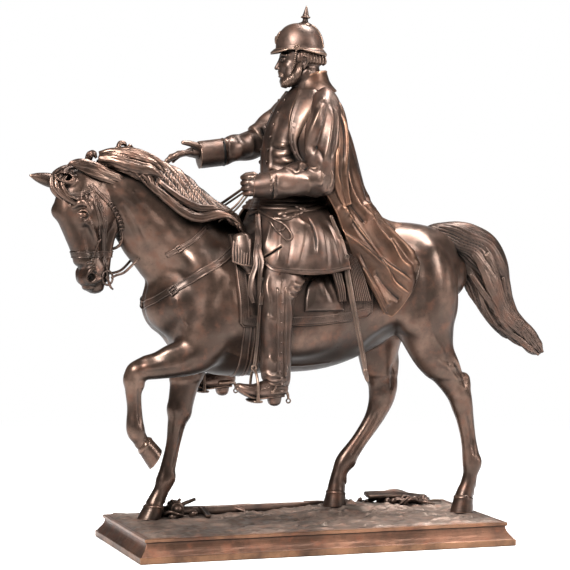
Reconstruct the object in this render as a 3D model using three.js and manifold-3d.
// Equestrian statuette in patinated bronze: a uniformed rider in a spiked helmet and an open greatcoat on a
// walking horse, on an oblong earth-covered base with a moulded plinth.
// Millimetres, +Z up, +X towards the tail, -Y towards the horse's left side.
// The origin is at the middle of the plinth's underside.
import * as THREE from 'three';
import { mergeVertices } from 'three/addons/utils/BufferGeometryUtils.js';
import Module from 'manifold-3d';

// Plinth and ground.
const plinth_slab_length = 400;
const plinth_slab_width = 189;
const plinth_height = 25;
const plinth_foot_height = 7;
const plinth_foot_overhang = 6.9;
const plinth_slab_thickness = 3.7;
const cove_inset = 1.8;
const ground_depth = 2;
const ground_border = 7;
const mound_height = 6.5;
const pole_thickness = 9;

// Figure group, from the ground to the tip of the helmet's spike.
const figure_height = 550;
const figure_side_shift = 8;

// Separately made fittings, raised work and thin walls.
const casting_gap = 0.35;
const strap_relief = 1.6;
const saddle_cloth_relief = 3;
const rein_width = 5;
const rein_thickness = 2.6;
const coat_thickness = 5;
const scabbard_width = 6.5;
const scabbard_thickness = 4.5;
const stirrup_bar = 2.8;
const stirrup_inner_width = 25;
const stirrup_leather_width = 5;
const stirrup_leather_thickness = 2.4;

// The figure's stations are written in 550ths of its height, and this is one of them in millimetres.
const unit = figure_height / 550;
const ground_level = plinth_height + ground_depth;

const wasm = await Module();
wasm.setup();

// How much fatter each limb and drape is made, so that a neighbour can be cut clear of it.
let skin = 0;

function grown(amount, make) {
  const before = skin;
  skin = amount;
  const result = make();
  skin = before;
  return result;
}

// A closed mesh as a solid for joining and cutting.
function solid(geometry) {
  const bare = geometry.clone();
  for (const name of Object.keys(bare.attributes)) {
    if (name !== 'position') bare.deleteAttribute(name);
  }
  const merged = mergeVertices(bare, 1e-4);
  return new wasm.Manifold(new wasm.Mesh({
    numProp: 3,
    vertProperties: new Float32Array(merged.attributes.position.array),
    triVerts: new Uint32Array(merged.index.array),
  }));
}

function join(solids) {
  return solids.reduce((whole, piece) => whole.add(piece));
}

// The triangles of a result's largest body: cuts leave crumbs, and crossing locks close in bubbles.
function largestBody(positions, triangles) {
  const parent = Array.from({ length: positions.length / 3 }, (_, i) => i);
  const root = (i) => {
    let at = i;
    while (parent[at] !== at) {
      parent[at] = parent[parent[at]];
      at = parent[at];
    }
    return at;
  };
  for (let i = 0; i < triangles.length; i += 3) {
    parent[root(triangles[i + 1])] = root(triangles[i]);
    parent[root(triangles[i + 2])] = root(triangles[i]);
  }
  const bodies = new Map();
  for (let i = 0; i < triangles.length; i += 3) {
    const key = root(triangles[i]);
    if (!bodies.has(key)) bodies.set(key, []);
    bodies.get(key).push(...triangles.slice(i, i + 3));
  }
  return [...bodies.values()].reduce((best, one) => (one.length > best.length ? one : best));
}

// A named mesh with only the points that its triangles use.
function meshOf(name, body, material) {
  const { vertProperties, triVerts } = body.getMesh();
  const triangles = largestBody(vertProperties, Array.from(triVerts));
  const used = [...new Set(triangles)];
  const place_of = new Map(used.map((old, index) => [old, index]));
  const positions = used.flatMap((old) => [...vertProperties.slice(3 * old, 3 * old + 3)]);
  const geometry = new THREE.BufferGeometry();
  geometry.setAttribute('position', new THREE.Float32BufferAttribute(positions, 3));
  geometry.setIndex(triangles.map((old) => place_of.get(old)));
  geometry.computeVertexNormals();
  const mesh = new THREE.Mesh(geometry, material);
  mesh.name = name;
  return mesh;
}

// How much a closed surface holds: negative when its faces point inwards.
function contents(points, faces) {
  let sum = 0;
  for (let i = 0; i < faces.length; i += 3) {
    const [a, b, c] = faces.slice(i, i + 3).map((index) => points[index]);
    sum += a.dot(new THREE.Vector3().crossVectors(b, c)) / 6;
  }
  return sum;
}

// A grid of points, closed round each row and capped at both ends, as one closed surface.
function tube(rings) {
  const count = rings[0].length;
  const points = rings.flat();
  const faces = [];
  for (let row = 0; row < rings.length - 1; row += 1) {
    for (let i = 0; i < count; i += 1) {
      const a = row * count + i;
      const b = row * count + (i + 1) % count;
      faces.push(a, b, b + count, a, b + count, a + count);
    }
  }
  for (const [row, order] of [[0, 1], [rings.length - 1, -1]]) {
    const centre = new THREE.Vector3();
    rings[row].forEach((point) => centre.addScaledVector(point, 1 / count));
    points.push(centre);
    for (let i = 0; i < count; i += 1) {
      const a = row * count + i;
      const b = row * count + (i + 1) % count;
      if (order > 0) faces.push(points.length - 1, b, a);
      else faces.push(points.length - 1, a, b);
    }
  }
  if (contents(points, faces) < 0) faces.reverse();
  const geometry = new THREE.BufferGeometry().setFromPoints(points);
  geometry.setIndex(faces);
  return solid(geometry);
}

// The place of a figure station in the part's frame.
function place(x, y, z) {
  return new THREE.Vector3(x * unit, y * unit + figure_side_shift, z * unit + ground_level);
}

// A limb through stations of [x, y, z, half width across, half depth], with oval sections square to its run.
// The side vector is the direction of the half width, and fullness squares the ovals.
function limb(stations, options = {}) {
  const { sides = 8, side = [0, 1, 0], fullness = 2 } = options;
  const centres = stations.map(([x, y, z]) => place(x, y, z));
  const rings = stations.map(([, , , wide, deep], index) => {
    const before = centres[Math.max(index - 1, 0)];
    const after = centres[Math.min(index + 1, centres.length - 1)];
    const along = after.clone().sub(before).normalize();
    const across = new THREE.Vector3(...side);
    across.addScaledVector(along, -across.dot(along)).normalize();
    const up = new THREE.Vector3().crossVectors(along, across);
    const ring = [];
    for (let i = 0; i < sides; i += 1) {
      const angle = (i + 0.5) * 2 * Math.PI / sides;
      const c = Math.sign(Math.cos(angle)) * Math.abs(Math.cos(angle)) ** (2 / fullness);
      const s = Math.sign(Math.sin(angle)) * Math.abs(Math.sin(angle)) ** (2 / fullness);
      ring.push(centres[index].clone()
        .addScaledVector(across, c * (wide * unit + skin))
        .addScaledVector(up, s * (deep * unit + skin)));
    }
    return ring;
  });
  const out_of_start = centres[0].clone().sub(centres[1]).normalize();
  const out_of_end = centres.at(-1).clone().sub(centres.at(-2)).normalize();
  rings[0].forEach((point) => point.addScaledVector(out_of_start, skin));
  rings.at(-1).forEach((point) => point.addScaledVector(out_of_end, skin));
  return tube(rings);
}

// A side outline of [x, z] stations, extruded past both of the horse's flanks.
function sideSlab(outline) {
  const shape = new THREE.Shape(outline.map(([x, z]) => {
    const point = place(x, 0, z);
    return new THREE.Vector2(point.x, point.z);
  }));
  const reach = 1.4 * Math.max(...trunk_stations.map(([, , , wide]) => wide));
  const start = place(0, -reach, 0).y;
  const end = place(0, reach, 0).y;
  const geometry = new THREE.ExtrudeGeometry(shape, { depth: end - start, bevelEnabled: false });
  geometry.rotateX(Math.PI / 2);
  geometry.translate(0, end, 0);
  return solid(geometry);
}

// A strip of the given width along a side-view line, as an outline.
function strip(line, width) {
  const half = width / 2;
  const left = [];
  const right = [];
  line.forEach(([x, z], index) => {
    const [x0, z0] = line[Math.max(index - 1, 0)];
    const [x1, z1] = line[Math.min(index + 1, line.length - 1)];
    const length = Math.hypot(x1 - x0, z1 - z0);
    const nx = -(z1 - z0) / length;
    const nz = (x1 - x0) / length;
    left.push([x + nx * half, z + nz * half]);
    right.push([x - nx * half, z - nz * half]);
  });
  return left.concat(right.reverse());
}

// A cloth-like casting: a smooth grid through control rows, with a given thickness on its inner side.
function drape(rows, thickness, columns, steps, fold) {
  const across = rows.map((row) => new THREE.CatmullRomCurve3(row.map(([x, y, z]) => place(x, y, z)))
    .getPoints(columns - 1));
  const grid = [];
  for (let j = 0; j < steps; j += 1) grid.push([]);
  for (let i = 0; i < columns; i += 1) {
    const down = new THREE.CatmullRomCurve3(across.map((row) => row[i])).getPoints(steps - 1);
    down.forEach((point, j) => grid[j].push(point));
  }
  const outer = grid.map((row, j) => row.map((point, i) => {
    const right = grid[j][Math.min(i + 1, columns - 1)].clone().sub(grid[j][Math.max(i - 1, 0)]);
    const down = grid[Math.min(j + 1, steps - 1)][i].clone().sub(grid[Math.max(j - 1, 0)][i]);
    const normal = new THREE.Vector3().crossVectors(down, right).normalize();
    const ripple = fold(i / (columns - 1), j / (steps - 1)) * unit;
    return { point: point.clone().addScaledVector(normal, ripple + skin), normal };
  }));
  const rings = outer.map((row) => {
    const face = row.map(({ point }) => point);
    const lining = row.map(({ point, normal }) => point.clone().addScaledVector(
      normal, -thickness - 2 * skin));
    return face.concat(lining.reverse());
  });
  return tube(rings);
}

// Horse. Trunk, neck and head.
const trunk_stations = [
  [-160, 0, 232, 22, 26], [-149, 0, 233, 38, 46], [-124, 0, 233, 47, 64], [-90, 0, 231, 53, 76],
  [-40, 0, 230, 57, 74], [10, 0, 228, 58, 72], [50, 0, 238, 57, 69], [85, 0, 255, 55, 61],
  [125, 0, 263, 52, 51], [155, 0, 261, 43, 43], [172, 0, 257, 26, 28], [178, 0, 256, 12, 14],
];
const neck_stations = [
  [-88, 0, 246, 44, 62], [-116, 0, 268, 37, 58], [-141, -1, 296, 28, 52],
  [-164, -2, 319, 23, 46], [-185, -3, 335, 20, 38], [-207, -4, 347, 19, 31], [-228, -6, 357, 18, 25],
];
const head_turn = 20 * Math.PI / 180;
const head_stations = [
  [-238, -7, 373, 10, 10], [-242, -8, 366, 18, 18], [-243, -9, 354, 22, 25], [-240, -9, 338, 24, 31],
  [-236, -10, 322, 23, 29], [-235, -11, 305, 18, 22], [-233, -12, 284, 14, 17.5],
  [-232, -13, 264, 14, 15.5], [-232, -13, 254, 12, 12], [-231, -13, 248, 7, 7],
];
const head_side = [-Math.sin(head_turn), Math.cos(head_turn), 0];

// Legs, from the trunk to the hoof's rim.
const near_foreleg = [
  [-100, -26, 272, 17, 28], [-108, -32, 230, 22, 32], [-118, -35, 192, 17, 24],
  [-134, -35, 178, 14.5, 18.5], [-166, -33, 170, 11, 13.5], [-184, -32, 167, 10.5, 12.5],
  [-193, -31, 159, 10.5, 11.5], [-194, -31, 145, 8.6, 9.3], [-193, -31, 126, 6.6, 8.2],
  [-192, -31, 103, 8.2, 10.2], [-187, -30, 93, 7.6, 8.6], [-182, -29, 86, 8.6, 10], [-177, -29, 80, 10.5, 11.5],
  [-169, -29, 71, 11.5, 12],
];
const far_foreleg = [
  [-95, 25, 264, 17, 30], [-100, 31, 232, 20, 32], [-112, 30, 188, 15, 25],
  [-123, 28, 143, 12, 16.5], [-127, 27, 124, 10.8, 14.5], [-129, 27, 112, 10.2, 13], [-132, 27, 100, 8, 10],
  [-136, 27, 78, 6.4, 8.2], [-142, 27, 52, 7.2, 9], [-145, 27, 40, 8.4, 10.4],
  [-149, 27, 30, 7.8, 9.2], [-156, 27, 19, 8.8, 9.4], [-160, 27, 11, 11.5, 12], [-165, 27, 0, 12.5, 13.5],
];
const near_hindleg = [
  [116, -26, 272, 22, 36], [124, -29, 246, 24, 41], [131, -32, 212, 21, 34],
  [142, -31, 175, 15.5, 23], [158, -30, 151, 11.5, 16], [172, -28, 132, 10.8, 14.5],
  [177, -28, 116, 9.4, 12.4], [181, -27, 101, 7.6, 10], [185, -27, 78, 6.8, 9],
  [188.5, -27, 53, 8.4, 10.6], [187, -27, 41, 7.8, 8.8], [183, -27, 29, 8.4, 9], [183, -27, 17, 11, 11.8],
  [181, -27, 0, 12.5, 14],
];
const far_hindleg = [
  [112, 26, 268, 22, 36], [108, 30, 236, 24, 38], [101, 29, 198, 19, 28],
  [99, 28, 157, 14, 18], [103, 28, 140, 12, 16], [104, 28, 126, 11, 16], [99, 28, 110, 9.4, 12.5],
  [91, 28, 95, 7.6, 10.4], [76, 28, 74, 6.9, 9.4], [61, 28, 54, 8.4, 11],
  [54, 28, 41, 7.8, 8.8], [51, 28, 29, 8.6, 9.2], [53, 28, 18, 11, 11.8], [54, 28, 5.5, 12.5, 13],
];

// The horse's bare body. Legs stop at the hooves' rims.
const trunk = () => limb(trunk_stations, { sides: 12 });
const neck = () => limb(neck_stations, { sides: 8 });
const head = () => limb(head_stations, { sides: 8, side: head_side, fullness: 3 });
const legs = () => [near_foreleg, far_foreleg, near_hindleg, far_hindleg].map((leg) => limb(leg, { sides: 6 }));

// An ear: a cone from its base to its tip, fattest near the base.
function ear(base, tip) {
  const at = (share, radius) => base.map((value, i) => value + (tip[i] - value) * share).concat(radius);
  return limb([at(0, [6, 7]), at(0.35, [7, 8]), at(1, [0.8, 1.2])], { sides: 6 });
}

// A lock of hair that swings from its root to its tip, thick in the middle.
function lock(points, thick, flat, count) {
  const curve = new THREE.CatmullRomCurve3(points.map(([x, y, z]) => new THREE.Vector3(x, y, z)));
  const stations = [];
  for (let i = 0; i < count; i += 1) {
    const share = i / (count - 1);
    const point = curve.getPoint(share);
    const body = 0.25 + 0.75 * Math.sin(Math.PI * (0.18 + 0.76 * share));
    stations.push([point.x, point.y, point.z, thick * body * flat, thick * body]);
  }
  return limb(stations, { sides: 5 });
}

// Mane: a ridge on the neck with locks blown back over both sides.
const crest_line = [
  [-240, -6, 378], [-222, -5, 387], [-200, -3, 390], [-172, -2, 386], [-142, -1, 371], [-112, 0, 349],
  [-84, 0, 326], [-64, 0, 311],
];
const crest = new THREE.CatmullRomCurve3(crest_line.map(([x, y, z]) => new THREE.Vector3(x, y, z)));
const near_lock_count = 5;
const far_lock_count = 2;
const mane_lock_rings = 4;
const tail_lock_rings = 5;

function mane() {
  const ridge = [];
  const ridge_steps = 6;
  for (let i = 0; i <= ridge_steps; i += 1) {
    const point = crest.getPoint(i / ridge_steps);
    const body = 0.6 + 0.4 * Math.sin(Math.PI * i / ridge_steps);
    ridge.push([point.x, point.y, point.z - 8, 9 * body, 14 * body]);
  }
  const locks = [limb(ridge, { sides: 6 })];
  const sweeps = [[-1, near_lock_count, 27, 25], [1, far_lock_count, 24, 30]];
  for (const [sign, count, reach, drop] of sweeps) {
    for (let i = 0; i < count; i += 1) {
      const start = 0.02 + 0.72 * i / (count - 1);
      const root = crest.getPoint(start);
      const half = crest.getPoint(Math.min(start + 0.16, 1));
      const end = crest.getPoint(Math.min(start + 0.33, 1));
      const wave = i % 2 ? 3 : -2;
      locks.push(lock([
        [root.x, root.y + sign * 2, root.z - 3],
        [(root.x + half.x) / 2, root.y + sign * reach * 0.55, (root.z + half.z) / 2 - drop * 0.2 + wave],
        [half.x, sign * reach * 0.9, half.z - drop * 0.62],
        [end.x, sign * reach, end.z - drop + wave],
      ], 10, 0.55, mane_lock_rings));
    }
  }
  locks.push(lock([[-238, -9, 374], [-254, -18, 366], [-256, -27, 352], [-252, -33, 342]], 7, 0.6, 3));
  locks.push(lock([[-238, -5, 376], [-262, -10, 370], [-272, -16, 358], [-268, -22, 346]], 6, 0.6, 3));
  return join(locks);
}

// Tail: a dock carried high and long locks that part, wave and come together at the tip.
function tail() {
  const spine = [
    [144, 0, 300], [162, 0, 304], [182, 0, 299], [200, 0, 286], [214, 0, 264], [223, 0, 243], [234, 0, 222],
    [247, 0, 205], [263, 0, 191], [280, 0, 172],
  ];
  const spread = [0, 3, 11, 18, 19, 16, 12, 9, 7, 3];
  const locks = [limb([
    [140, 0, 296, 12, 12], [162, 0, 302, 11, 12], [184, 0, 296, 14, 19], [203, 0, 281, 16, 25],
    [216, 0, 260, 16, 25], [226, 0, 234, 13, 20], [242, 0, 210, 10, 14],
    [262, 0, 191, 7, 11], [277, 0, 178, 3, 7],
  ], { sides: 6 })];
  const lock_angles = [-1.6, 0.2, 1.9];
  lock_angles.forEach((angle, index) => {
    const points = spine.map(([x, y, z], i) => {
      const [x0, , z0] = spine[Math.max(i - 1, 0)];
      const [x1, , z1] = spine[Math.min(i + 1, spine.length - 1)];
      const length = Math.hypot(x1 - x0, z1 - z0);
      const twist = angle + 0.12 * i * (index % 2 ? 1 : -1);
      const out = spread[i] * Math.cos(twist);
      return [x - (z1 - z0) / length * out, y + spread[i] * 0.7 * Math.sin(twist), z + (x1 - x0) / length * out];
    });
    locks.push(lock(points, 8.5, 0.9, tail_lock_rings));
  });
  return join(locks);
}

// Breast strap and girth, cast in relief: the body grown a little, kept along each strip.
function straps() {
  const body = grown(skin + strap_relief, () => join([trunk(), neck()]));
  const lines = [
    strip([[-178, 232], [-140, 254], [-99, 279], [-70, 304]], 8),
    strip([[-71, 140], [-71, 230]], 20),
  ];
  return lines.map((line) => body.intersect(sideSlab(line)));
}

// Saddle cloth: the trunk grown by the cloth's relief, down to its lower edge.
function saddleCloth() {
  const wrap = grown(skin + saddle_cloth_relief, () => limb(trunk_stations.slice(2, 9), { sides: 12 }));
  const outline = [[-88, 310], [-87, 210], [2, 210], [60, 218], [63, 236], [62, 310]];
  return wrap.intersect(sideSlab(outline));
}

// Saddle: pommel and cantle over the cloth, with a rounded flap on each side behind the rider's knee,
// and a pistol holster on each side of the pommel.
function saddle() {
  const pieces = [limb([
    [-60, 0, 308, 22, 12], [-40, 0, 309, 34, 14], [-5, 0, 304, 40, 12], [28, 0, 306, 38, 15], [46, 0, 311, 24, 12],
  ])];
  for (const sign of [-1, 1]) {
    pieces.push(limb([[4, sign * 52, 268, 8, 22], [22, sign * 56, 247, 7.5, 24], [36, sign * 56, 244, 6, 16]],
      { sides: 6 }));
    pieces.push(limb([[-62, sign * 36, 296, 9, 12], [-67, sign * 45, 280, 9, 14], [-60, sign * 50, 262, 5, 7]],
      { sides: 6 }));
  }
  return pieces;
}

// What the rider, the coat and the fittings can touch.
function ridden() {
  return join([trunk(), neck(), ...legs(), saddleCloth(), ...saddle(), ...straps()]);
}

function horse() {
  const bit = [];
  for (const sign of [-1, 1]) {
    bit.push(limb([
      [-217, sign * 9 - 14, 259, 3, 3.6], [-202, sign * 11 - 9, 267, 1.5, 2.5], [-170, sign * 10, 293, 2, 3],
    ], { sides: 5 }));
  }
  const ears = [ear([-252, -20, 363], [-277, -34, 369]), ear([-264, 2, 361], [-297, -3, 369])];
  return join([ridden(), head(), ...bit, ...ears, mane(), tail()]);
}

// Rider. Trunk, limbs, head and helmet.
const head_away = 16 * Math.PI / 180;
const rider_head_side = [Math.sin(head_away), Math.cos(head_away), 0];

function riderHead() {
  const skull = limb([
    [6, 0, 452, 13, 14], [0, 0, 472, 13, 17], [-2, 0, 480, 15, 21], [-1, 0, 490, 16.5, 23],
    [0, 0, 500, 17, 23.5],
  ], { side: rider_head_side, fullness: 2.3 });
  const dome = new THREE.LatheGeometry([
    [0, -4], [23.5, -4], [24.5, 3], [22, 14], [14, 24.5], [0, 28.5],
  ].map(([x, y]) => new THREE.Vector2(x * unit, y * unit)), 10);
  const spike = new THREE.LatheGeometry([
    [0, 0], [9, 0], [3, 3], [2.6, 7], [5.2, 8], [3, 11], [0, 22.6],
  ].map(([x, y]) => new THREE.Vector2(x * unit, y * unit)), 6);
  dome.rotateX(Math.PI / 2);
  dome.scale(1.04, 0.9, 1);
  spike.rotateX(Math.PI / 2);
  spike.rotateY(0.1);
  const dome_level = 502;
  const dome_centre = place(0, 0, dome_level);
  dome.translate(dome_centre.x, dome_centre.y, dome_centre.z);
  const spike_foot = place(4, 0, dome_level + 25.6);
  spike.translate(spike_foot.x, spike_foot.y, spike_foot.z);
  const visor = limb([[-14, 0, 501, 19, 7], [-26, 2, 498.5, 13, 3.5], [-35, 5, 497, 5, 1.2]],
    { side: rider_head_side });
  const neck_guard = limb([[12, 0, 500, 20, 6], [22, 0, 496, 15, 4], [29, 0, 493, 6, 1.5]]);
  const nose = limb([[-19, 5, 497, 3.4, 4], [-23, 6, 489, 3.4, 4], [-21, 6, 485, 2.6, 3]], { sides: 4 });
  const whiskers = [-1, 1].map((sign) => limb([
    [-3, sign * 15, 493, 3.4, 5], [-8, sign * 15, 483, 4, 6.5], [-15, sign * 10 + 3, 476, 3.5, 6],
    [-20, sign * 5 + 5, 479, 2.5, 4]], { sides: 5 }));
  return join([skull, solid(dome), solid(spike), visor, neck_guard, nose, ...whiskers]);
}

function riderTrunk() {
  return [
    limb([[-8, 0, 322, 31, 35], [-8, 0, 352, 29, 34], [-5, 0, 385, 33, 37],
      [0, 0, 410, 37, 37], [3, 0, 430, 38, 33], [5, 0, 447, 30, 24], [5, 0, 460, 17, 15]], { sides: 10 }),
    limb([[-10, 0, 346, 32, 36], [-11, 0, 336, 37, 38], [-15, 0, 320, 55, 41],
      [-18, 0, 290, 72, 44.5], [-17, 0, 266, 76, 46]], { sides: 12 }),
    limb([[-6, 0, 452, 22, 24], [8, 0, 458, 24, 22], [13, 0, 467, 18, 20], [9, 0, 482, 15, 15]]),
  ];
}

function riderArms() {
  const sleeve = { sides: 6 };
  return [
    limb([[9, -36, 448, 15, 17], [8, -46, 435, 17, 21], [9, -52, 415, 18, 23], [11, -56, 392, 18, 23],
      [12, -57, 366, 15, 19], [12, -57, 352, 10, 13]], sleeve),
    limb([[23, -57, 362, 13, 15], [4, -57, 364, 16, 18.5], [-14, -54, 364, 15, 18], [-38, -46, 359, 13.4, 15],
      [-62, -40, 357, 13, 13]], sleeve),
    limb([[-52, -41, 357, 9, 10], [-62, -38, 358, 10, 11], [-70, -35, 356, 8.5, 10], [-74, -34, 353, 5, 6]], sleeve),
    limb([[6, 34, 440, 15, 16], [-6, 44, 424, 15, 17], [-26, 48, 410, 14, 15], [-46, 48, 400.5, 13, 14.3],
      [-74, 47, 394, 13, 13], [-88, 46, 393, 13.5, 14.5], [-102, 46, 392, 14, 15.5]], sleeve),
    limb([[-98, 46, 393, 9, 6.5], [-110, 45, 393, 10.5, 6], [-122, 43, 390, 9.5, 4.2], [-138, 41, 386, 5, 2.4]],
      { sides: 8 }),
    limb([[-103, 38, 397, 3.6, 3.6], [-114, 35, 402, 3.2, 3.2], [-124, 33, 401, 2.4, 2.4]], { sides: 6 }),
  ];
}

function riderLegs() {
  const parts = [];
  for (const [sign, ahead] of [[-1, 0], [1, -22]]) {
    const y = sign * 64;
    parts.push(limb([[-8, sign * 34, 312, 20, 26], [-34 + ahead * 0.4, sign * 50, 290, 18, 24],
      [-52 + ahead * 0.8, sign * 60, 270, 15, 18]], { sides: 6 }));
    parts.push(limb([[-38 + ahead, sign * 57, 276, 14, 22], [-41 + ahead, sign * 60, 259, 15.5, 22.5],
      [-47 + ahead, sign * 63, 238, 14, 18], [-48 + ahead, y, 193, 13, 16.3],
      [-49 + ahead, y, 148, 11.5, 14.3]], { sides: 6 }));
    parts.push(limb([[-46 + ahead, y, 141, 8.5, 8], [-58 + ahead, y, 141, 9, 8], [-72 + ahead, y, 142, 9, 7],
      [-84 + ahead, y, 147, 7.5, 5], [-91 + ahead, y, 149, 4, 2.5]], { sides: 6 }));
    parts.push(limb([[-54 + ahead, y, 138, 7, 7], [-54 + ahead, y, 128, 6.5, 6.5]], { sides: 5 }));
    parts.push(limb([[-48 + ahead, y, 137, 4, 4], [-38 + ahead, y, 134, 1.8, 1.8], [-32 + ahead, y, 132, 3.4, 3.4]],
      { sides: 5 }));
  }
  return parts;
}

// Greatcoat: open in front, over the shoulders, and spread over the horse's croup and flanks.
const coat_near_rows = [
  [[-14, -28, 450], [-2, -38, 451], [16, -36, 455], [29, -18, 461], [34, 0, 463]],
  [[-8, -36, 420], [16, -50, 419], [32, -44, 420], [43, -22, 422], [49, 0, 423]],
  [[10, -55, 368], [24, -60, 372], [42, -48, 376], [53, -24, 378], [60, 0, 379]],
  [[24, -64, 310], [46, -64, 314], [58, -54, 322], [65, -32, 333], [72, 0, 338]],
  [[44, -66, 268], [70, -67, 270], [88, -60, 284], [93, -42, 302], [90, 0, 320]],
  [[62, -66, 226], [84, -65, 214], [106, -60, 252], [118, -48, 288], [108, 0, 318]],
];
const coat_columns = 17;
const coat_steps = 6;

function greatcoat() {
  const rows = coat_near_rows.map((row) => row.concat(
    row.slice(0, -1).reverse().map(([x, y, z]) => [x, -y, z])));
  const fold_count = 4.5;
  const fold = (across, down) => 3 * down * Math.cos(2 * Math.PI * fold_count * across + 1.5 * down);
  return drape(rows, coat_thickness, coat_columns, coat_steps, fold);
}

function riderWithCoat() {
  return join([riderHead(), ...riderTrunk(), ...riderArms(), ...riderLegs(), greatcoat()]);
}

// Ground: a shallow relief of trodden earth with a mound under the far hind hoof.
function groundHeight(x, y) {
  const furrow = 0.9 * Math.sin(x * 0.11 + y * 0.05) + 0.7 * Math.sin(y * 0.23 - x * 0.037);
  const mound = place(58, 32, 0);
  const reach = Math.hypot((x - mound.x) / 62, (y - mound.y) / 30);
  return plinth_height + ground_depth + furrow * 0.5 + mound_height * Math.exp(-reach * reach);
}

function ground() {
  const half_length = plinth_slab_length / 2 - ground_border;
  const half_width = plinth_slab_width / 2 - ground_border;
  const columns = 16;
  const rows = 7;
  const rings = [];
  for (let i = 0; i <= columns; i += 1) {
    const x = -half_length + 2 * half_length * i / columns;
    const ring = [];
    for (let j = 0; j <= rows; j += 1) {
      const y = -half_width + 2 * half_width * j / rows;
      const rim = Math.min(1, 6 * i / columns, 6 * (1 - i / columns), 6 * j / rows, 6 * (1 - j / rows));
      const level = plinth_height + 0.2;
      ring.push(new THREE.Vector3(x, y, level + (groundHeight(x, y) - level) * rim));
    }
    ring.push(new THREE.Vector3(x, half_width, plinth_height - 1));
    ring.push(new THREE.Vector3(x, -half_width, plinth_height - 1));
    rings.push(ring);
  }
  return tube(rings);
}

// Debris on the ground: a long pole with a broken wheel at one end, and a snapped plank with twisted iron.
function debris() {
  const thick = pole_thickness / unit / 2;
  const pole = limb([[-150, 42, 3, thick, thick], [-60, 46, 3, thick, thick], [36, 50, 4, thick, thick]], { sides: 6 });
  const hub = limb([[-130, 30, 5, 7, 7], [-130, 56, 6, 7, 7]], { sides: 6, side: [1, 0, 0] });
  const spokes = [];
  const spoke_count = 3;
  for (let i = 0; i < spoke_count; i += 1) {
    const angle = 0.5 + i * 1.5;
    spokes.push(limb([[-130, 44, 6, 2.4, 2.4],
      [-130 + 24 * Math.cos(angle), 44 + 20 * Math.sin(angle), 3 + 2 * Math.sin(angle), 2, 2]], { sides: 5 }));
  }
  const plank = limb([[96, 40, 5, 7, 4], [130, 52, 7, 7, 4], [168, 60, 5, 6, 3.4]], { sides: 6, fullness: 3 });
  const iron = limb([[100, 58, 5, 2.4, 2.4], [118, 44, 11, 2.4, 2.4], [140, 38, 5, 2.4, 2.4]], { sides: 6 });
  return [pole, hub, ...spokes, plank, iron];
}

// Plinth: a square foot, a hollow cove and a slab, round all four sides.
function mouldedBase() {
  const slab_bottom = plinth_height - plinth_slab_thickness;
  const cove_steps = 6;
  const levels = [[0, plinth_foot_overhang], [plinth_foot_height, plinth_foot_overhang]];
  const cove_reach = plinth_foot_overhang + cove_inset;
  for (let i = 0; i <= cove_steps; i += 1) {
    const angle = (i / cove_steps) * Math.PI / 2;
    const z = plinth_foot_height + (slab_bottom - plinth_foot_height) * Math.sin(angle);
    levels.push([z, -cove_inset + cove_reach * (1 - Math.sin(angle)) * 0.85]);
  }
  levels.push([slab_bottom + 0.01, 0], [plinth_height, 0]);
  const rings = levels.map(([z, out]) => {
    const x = plinth_slab_length / 2 + out;
    const y = plinth_slab_width / 2 + out;
    return [[-x, -y], [x, -y], [x, y], [-x, y]].map(([px, py]) => new THREE.Vector3(px, py, z));
  });
  return tube(rings);
}

// The standing hooves, for their seats in the ground.
function hooves() {
  return join([far_foreleg, near_hindleg, far_hindleg].map((leg) => limb(leg.slice(-4), { sides: 6 })));
}

// Sabre in its scabbard, hung from the waist behind the near leg.
function sabre() {
  const wide = scabbard_width / unit / 2;
  const thin = scabbard_thickness / unit / 2;
  const scabbard = limb([
    [12, -66, 326, thin, wide], [23, -71, 294, thin, wide], [30, -74, 254, thin, wide * 0.95],
    [37, -75, 216, thin, wide * 0.85], [45, -75, 178, thin * 0.9, wide * 0.75], [49, -74, 156, thin * 0.7, wide * 0.5],
  ], { sides: 6 });
  const rings = [[22, -71, 298], [26, -73, 278]].map(([x, y, z]) => limb([
    [x - 0.6, y, z + 2.5, thin + 1, wide + 1.2], [x + 0.6, y, z - 2.5, thin + 1, wide + 1.2]], { sides: 4 }));
  return join([scabbard, ...rings]);
}

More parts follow.
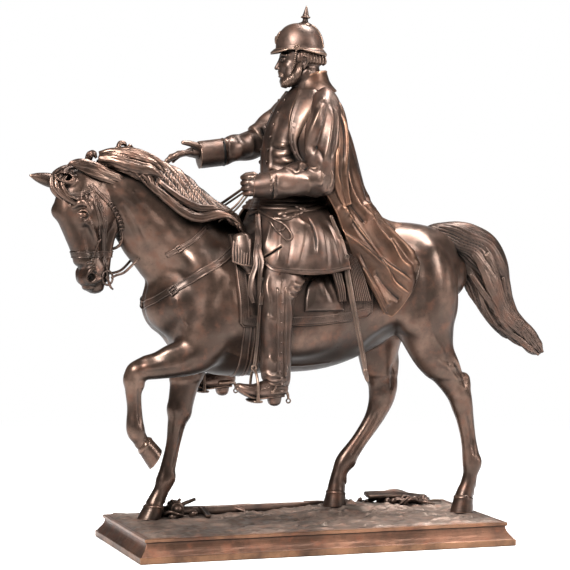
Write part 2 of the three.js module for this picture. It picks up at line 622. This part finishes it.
// Stirrup: an iron arch with a tread under the boot, hung on its leather.
function stirrup(sign, ahead) {
  const y = sign * 64;
  const x = -72 + ahead;
  const bar = stirrup_bar / unit / 2;
  const inner = stirrup_inner_width / unit / 2;
  const top = 165;
  const tread = 133;
  const arch = [];
  const arch_steps = 6;
  for (let i = 0; i <= arch_steps; i += 1) {
    const angle = Math.PI * i / arch_steps;
    arch.push([x, y + (inner + bar) * Math.cos(angle), top - 20 + 20 * Math.sin(angle), bar, bar]);
  }
  const legs = [[x, y + inner + bar, tread, bar, bar], ...arch, [x, y - inner - bar, tread, bar, bar]];
  const iron = limb(legs, { sides: 5, side: [1, 0, 0] });
  const step = limb([[x, y - inner - bar, tread, 5, bar], [x, y + inner + bar, tread, 5, bar]],
    { sides: 6, side: [1, 0, 0] });
  const half = stirrup_leather_width / unit / 2;
  const thin = stirrup_leather_thickness / unit / 2;
  const leather = limb([[x + 8, sign * 66, 262, thin, half], [x + 3, sign * 67, 215, thin, half],
    [x, y, top, thin, half]], { sides: 4 });
  return join([iron, step, leather]);
}

// Rein from the fist to the mane on one side.
function rein(sign) {
  const half = rein_width / unit / 2;
  const thin = rein_thickness / unit / 2;
  return limb([
    [-72, -37 + (sign + 1) * 2, 355 + sign * 2.5, thin, half * 0.7],
    [-84, -22 + sign * 12, 340 + sign * 4, thin, half * 0.8],
    [-98, sign * 22 - 2, 326 + sign * 2, thin, half],
  ], { sides: 6 });
}

const bronze = { roughness: 0.42, metalness: 0.85 };
const horse_bronze = new THREE.MeshStandardMaterial({ color: 0x4f3a30, ...bronze });
const rider_bronze = new THREE.MeshStandardMaterial({ color: 0x5c463a, ...bronze });
const fittings_bronze = new THREE.MeshStandardMaterial({ color: 0x6d5140, ...bronze });
const plinth_bronze = new THREE.MeshStandardMaterial({ color: 0x6b4a38, ...bronze });

const horse_solid = horse();
const ridden_grown = grown(casting_gap, ridden);
const mane_grown = grown(casting_gap, mane);
const rider_solid = riderWithCoat().subtract(ridden_grown).subtract(mane_grown);
const rider_grown = grown(casting_gap, riderWithCoat);
const clear = (piece) => piece.subtract(ridden_grown).subtract(mane_grown).subtract(rider_grown);
const plinth_solid = join([mouldedBase(), ground(), ...debris()]).subtract(grown(casting_gap, hooves));

const statuette = new THREE.Group();
statuette.add(meshOf('plinth', plinth_solid, plinth_bronze));
statuette.add(meshOf('horse', horse_solid, horse_bronze));
statuette.add(meshOf('rider', rider_solid, rider_bronze));
statuette.add(meshOf('sabre', clear(sabre()), fittings_bronze));
statuette.add(meshOf('stirrup_near', clear(stirrup(-1, 0)), fittings_bronze));
statuette.add(meshOf('stirrup_far', clear(stirrup(1, -22)), fittings_bronze));
statuette.add(meshOf('rein_near', clear(rein(-1)), fittings_bronze));
statuette.add(meshOf('rein_far', clear(rein(1)), fittings_bronze));

export default statuette;
